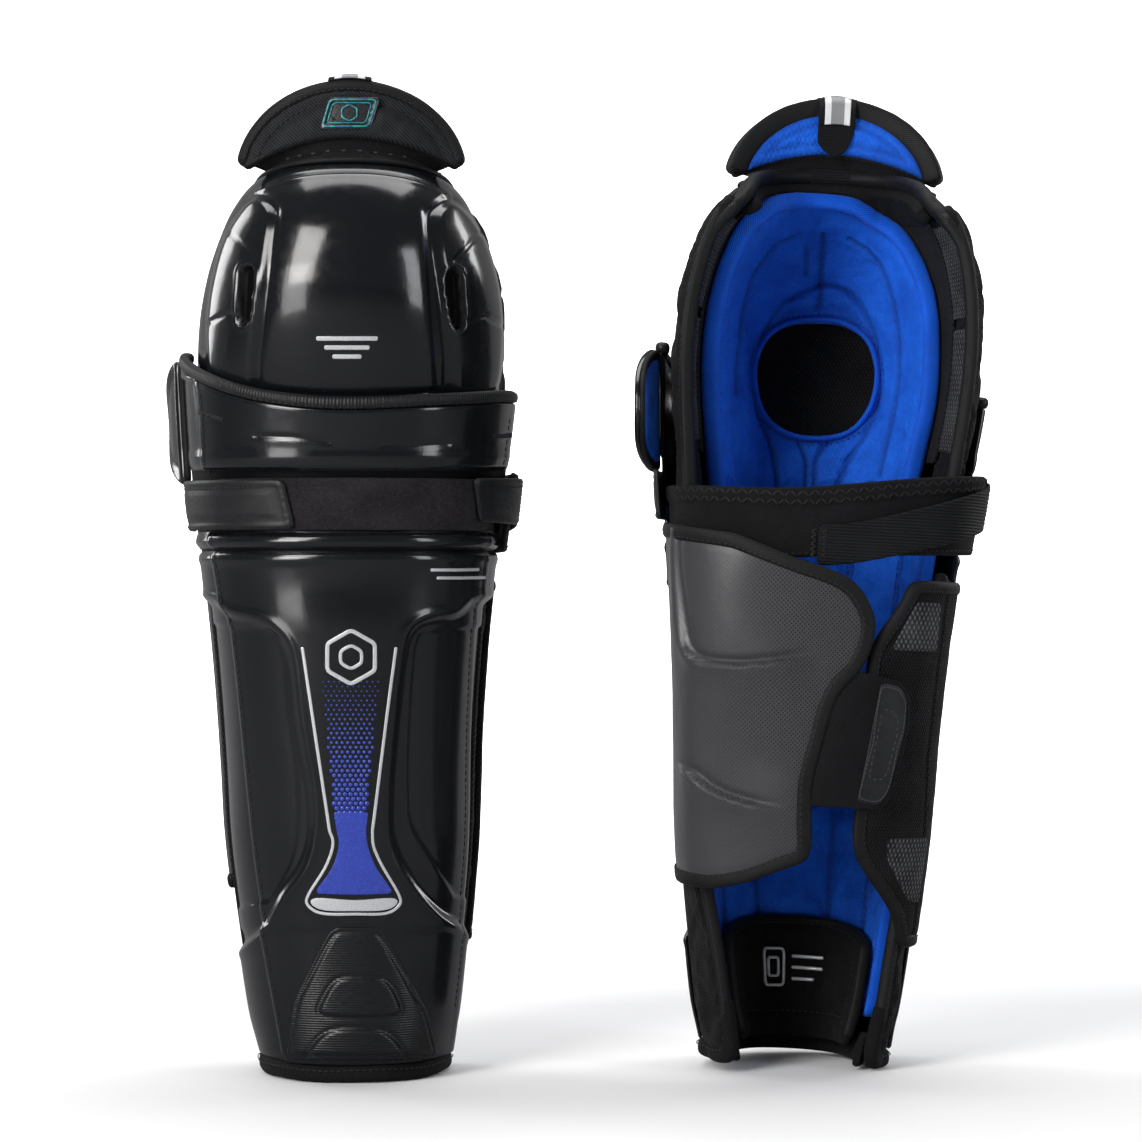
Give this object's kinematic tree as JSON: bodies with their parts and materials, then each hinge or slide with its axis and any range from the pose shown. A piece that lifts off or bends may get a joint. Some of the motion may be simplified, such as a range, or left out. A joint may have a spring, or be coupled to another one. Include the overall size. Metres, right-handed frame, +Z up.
{
  "type": "ice hockey shin guards",
  "caption": "Ice hockey shin guards, right and left: moulded knee caps and shin shells on padded textile, with folding thigh flaps, calf wraps, peel tabs and ankle flaps.",
  "frame": {"origin": "centre of the two guards' footprint, at the height of the right guard's bottom hem", "axes": "+Z up the leg; the right guard's front faces -Y and the left guard's front faces +Y; the right guard stands on the -X side"},
  "size_m": [0.3974, 0.1934, 0.4748],
  "materials": {
    "moulded_shell": "gloss injection-moulded plastic, near black",
    "black_textile": "matt woven nylon with folded binding",
    "black_mesh": "open knitted mesh over black",
    "twill_panel": "dark grey twill",
    "grey_panel": "grey dotted weave, heat-moulded ridges",
    "blue_liner": "royal blue brushed knit",
    "foam": "closed-cell foam under fabric",
    "loop_tape": "fuzzy loop pile",
    "black_elastic": "ribbed woven elastic",
    "strap_rubber": "satin moulded rubber",
    "badge_rubber": "satin moulded rubber with a coloured outline",
    "reflective_tape": "grey reflective tape"
  },
  "bodies": {
    "right_shin": {"right_shin_shell": "moulded_shell", "right_shell_collar_pad": "black_textile", "right_shin_foam": "foam", "right_liner_shin": "blue_liner", "right_side_panel_lateral": "black_mesh", "right_side_panel_medial": "black_mesh", "right_bottom_hem": "black_textile", "right_strap_loop_band": "loop_tape", "right_calf_band": "black_elastic", "right_calf_elastic": "black_elastic"},
    "right_knee": {"right_knee_cap": "moulded_shell", "right_knee_pad": "foam", "right_knee_frame_lateral": "black_textile", "right_knee_frame_medial": "black_textile", "right_knee_top_trim": "black_textile", "right_liner_knee": "blue_liner", "right_liner_rim": "blue_liner"},
    "right_thigh": {"right_thigh_pad": "twill_panel", "right_thigh_lining": "blue_liner", "right_thigh_binding": "black_textile", "right_thigh_pull_loop": "reflective_tape", "right_thigh_badge": "badge_rubber", "right_thigh_hinge_web": "black_textile"},
    "right_lateral_wrap": {"right_wrap_lateral_panel": "grey_panel"},
    "right_wrap_tab": {"right_wrap_tab": "black_textile"},
    "right_medial_wrap": {"right_wrap_medial_panel": "black_mesh"},
    "right_strap_tab_lateral": {"right_strap_tab_lateral": "strap_rubber"},
    "right_strap_tab_medial": {"right_strap_tab_medial": "strap_rubber"},
    "right_ankle_flap": {"right_ankle_flap": "black_textile"},
    "right_side_wing": {"right_side_wing": "moulded_shell"},
    "left_shin": {"left_shin_shell": "moulded_shell", "left_shell_collar_pad": "black_textile", "left_shin_foam": "foam", "left_liner_shin": "blue_liner", "left_side_panel_lateral": "black_mesh", "left_side_panel_medial": "black_mesh", "left_bottom_hem": "black_textile", "left_strap_loop_band": "loop_tape", "left_calf_band": "black_elastic", "left_calf_elastic": "black_elastic"},
    "left_knee": {"left_knee_cap": "moulded_shell", "left_knee_pad": "foam", "left_knee_frame_lateral": "black_textile", "left_knee_frame_medial": "black_textile", "left_knee_top_trim": "black_textile", "left_liner_knee": "blue_liner", "left_liner_rim": "blue_liner"},
    "left_thigh": {"left_thigh_pad": "twill_panel", "left_thigh_lining": "blue_liner", "left_thigh_binding": "black_textile", "left_thigh_pull_loop": "reflective_tape", "left_thigh_badge": "badge_rubber", "left_thigh_hinge_web": "black_textile"},
    "left_lateral_wrap": {"left_wrap_lateral_panel": "grey_panel"},
    "left_wrap_tab": {"left_wrap_tab": "black_textile"},
    "left_medial_wrap": {"left_wrap_medial_panel": "black_mesh"},
    "left_strap_tab_lateral": {"left_strap_tab_lateral": "strap_rubber"},
    "left_strap_tab_medial": {"left_strap_tab_medial": "strap_rubber"},
    "left_ankle_flap": {"left_ankle_flap": "black_textile"},
    "left_side_wing": {"left_side_wing": "moulded_shell"}
  },
  "joints": [
    {"name": "right_knee_flex", "type": "hinge", "parent": "right_shin", "child": "right_knee", "pos_m": [-0.11141, -0.006, 0.318], "axis": [1, 0, 0], "range_deg": [-12, 3]},
    {"name": "left_knee_flex", "type": "hinge", "parent": "left_shin", "child": "left_knee", "pos_m": [0.11723, 0.006, 0.3201], "axis": [-0.9986, 0, 0.0523], "range_deg": [-12, 3]},
    {"name": "right_thigh_flap_fold", "type": "hinge", "parent": "right_knee", "child": "right_thigh", "pos_m": [-0.10872, -0.0525, 0.443], "axis": [1, 0, 0], "range_deg": [-30, 25]},
    {"name": "left_thigh_flap_fold", "type": "hinge", "parent": "left_knee", "child": "left_thigh", "pos_m": [0.12647, 0.0525, 0.44479], "axis": [-0.9986, 0, 0.0523], "range_deg": [-30, 25]},
    {"name": "right_lateral_wrap_open", "type": "hinge", "parent": "right_shin", "child": "right_lateral_wrap", "pos_m": [-0.18123, 0.01209, 0.18], "axis": [0, 0, 1], "range_deg": [0, 85]},
    {"name": "left_lateral_wrap_open", "type": "hinge", "parent": "left_shin", "child": "left_lateral_wrap", "pos_m": [0.04029, -0.01209, 0.18594], "axis": [-0.0523, 0, -0.9986], "range_deg": [0, 85]},
    {"name": "right_medial_wrap_open", "type": "hinge", "parent": "right_shin", "child": "right_medial_wrap", "pos_m": [-0.04869, 0.01335, 0.15], "axis": [0, 0, -1], "range_deg": [0, 51]},
    {"name": "left_medial_wrap_open", "type": "hinge", "parent": "left_shin", "child": "left_medial_wrap", "pos_m": [0.17107, -0.01335, 0.14905], "axis": [0.0523, 0, 0.9986], "range_deg": [0, 51]},
    {"name": "right_wrap_tab_peel", "type": "hinge", "parent": "right_lateral_wrap", "child": "right_wrap_tab", "pos_m": [-0.10474, 0.05966, 0.131], "axis": [0.2611, 0.0293, 0.9649], "range_deg": [0, 50]},
    {"name": "left_wrap_tab_peel", "type": "hinge", "parent": "left_lateral_wrap", "child": "left_wrap_tab", "pos_m": [0.11411, -0.05966, 0.13301], "axis": [-0.3112, 0.0293, -0.9499], "range_deg": [0, 50]},
    {"name": "right_strap_tab_lateral_peel", "type": "hinge", "parent": "right_shin", "child": "right_strap_tab_lateral", "pos_m": [-0.19145, 0.00068, 0.272], "axis": [0, 0, -1], "range_deg": [0, 60]},
    {"name": "left_strap_tab_lateral_peel", "type": "hinge", "parent": "left_shin", "child": "left_strap_tab_lateral", "pos_m": [0.03489, -0.00068, 0.27835], "axis": [0.0523, 0, 0.9986], "range_deg": [0, 60]},
    {"name": "right_strap_tab_medial_peel", "type": "hinge", "parent": "right_shin", "child": "right_strap_tab_medial", "pos_m": [-0.0305, -0.00612, 0.272], "axis": [0, 0, 1], "range_deg": [0, 60]},
    {"name": "left_strap_tab_medial_peel", "type": "hinge", "parent": "left_shin", "child": "left_strap_tab_medial", "pos_m": [0.19563, 0.00612, 0.26993], "axis": [-0.0523, 0, -0.9986], "range_deg": [0, 60]},
    {"name": "right_ankle_flap_fold", "type": "hinge", "parent": "right_shin", "child": "right_ankle_flap", "pos_m": [-0.10879, -0.0381, 0.011], "axis": [-1, 0, 0], "range_deg": [0, 30]},
    {"name": "left_ankle_flap_fold", "type": "hinge", "parent": "left_shin", "child": "left_ankle_flap", "pos_m": [0.10379, 0.0381, 0.01338], "axis": [0.9986, 0, -0.0523], "range_deg": [0, 30]},
    {"name": "right_side_wing_flex", "type": "hinge", "parent": "right_shin", "child": "right_side_wing", "pos_m": [-0.19329, -0.00279, 0.316], "axis": [0, 0, 1], "range_deg": [0, 18]},
    {"name": "left_side_wing_flex", "type": "hinge", "parent": "left_shin", "child": "left_side_wing", "pos_m": [0.03536, 0.00279, 0.32239], "axis": [-0.0523, 0, -0.9986], "range_deg": [0, 18]},
    {"name": "pair_spacing", "type": "slide", "parent": "right_shin", "child": "left_shin", "axis": [1, 0, 0], "range_m": [0, 0.2]}
  ],
  "couplings": [
    {"joint": "right_medial_wrap_open", "follows": "right_lateral_wrap_open", "ratio": 0.6},
    {"joint": "left_medial_wrap_open", "follows": "left_lateral_wrap_open", "ratio": 0.6}
  ]
}
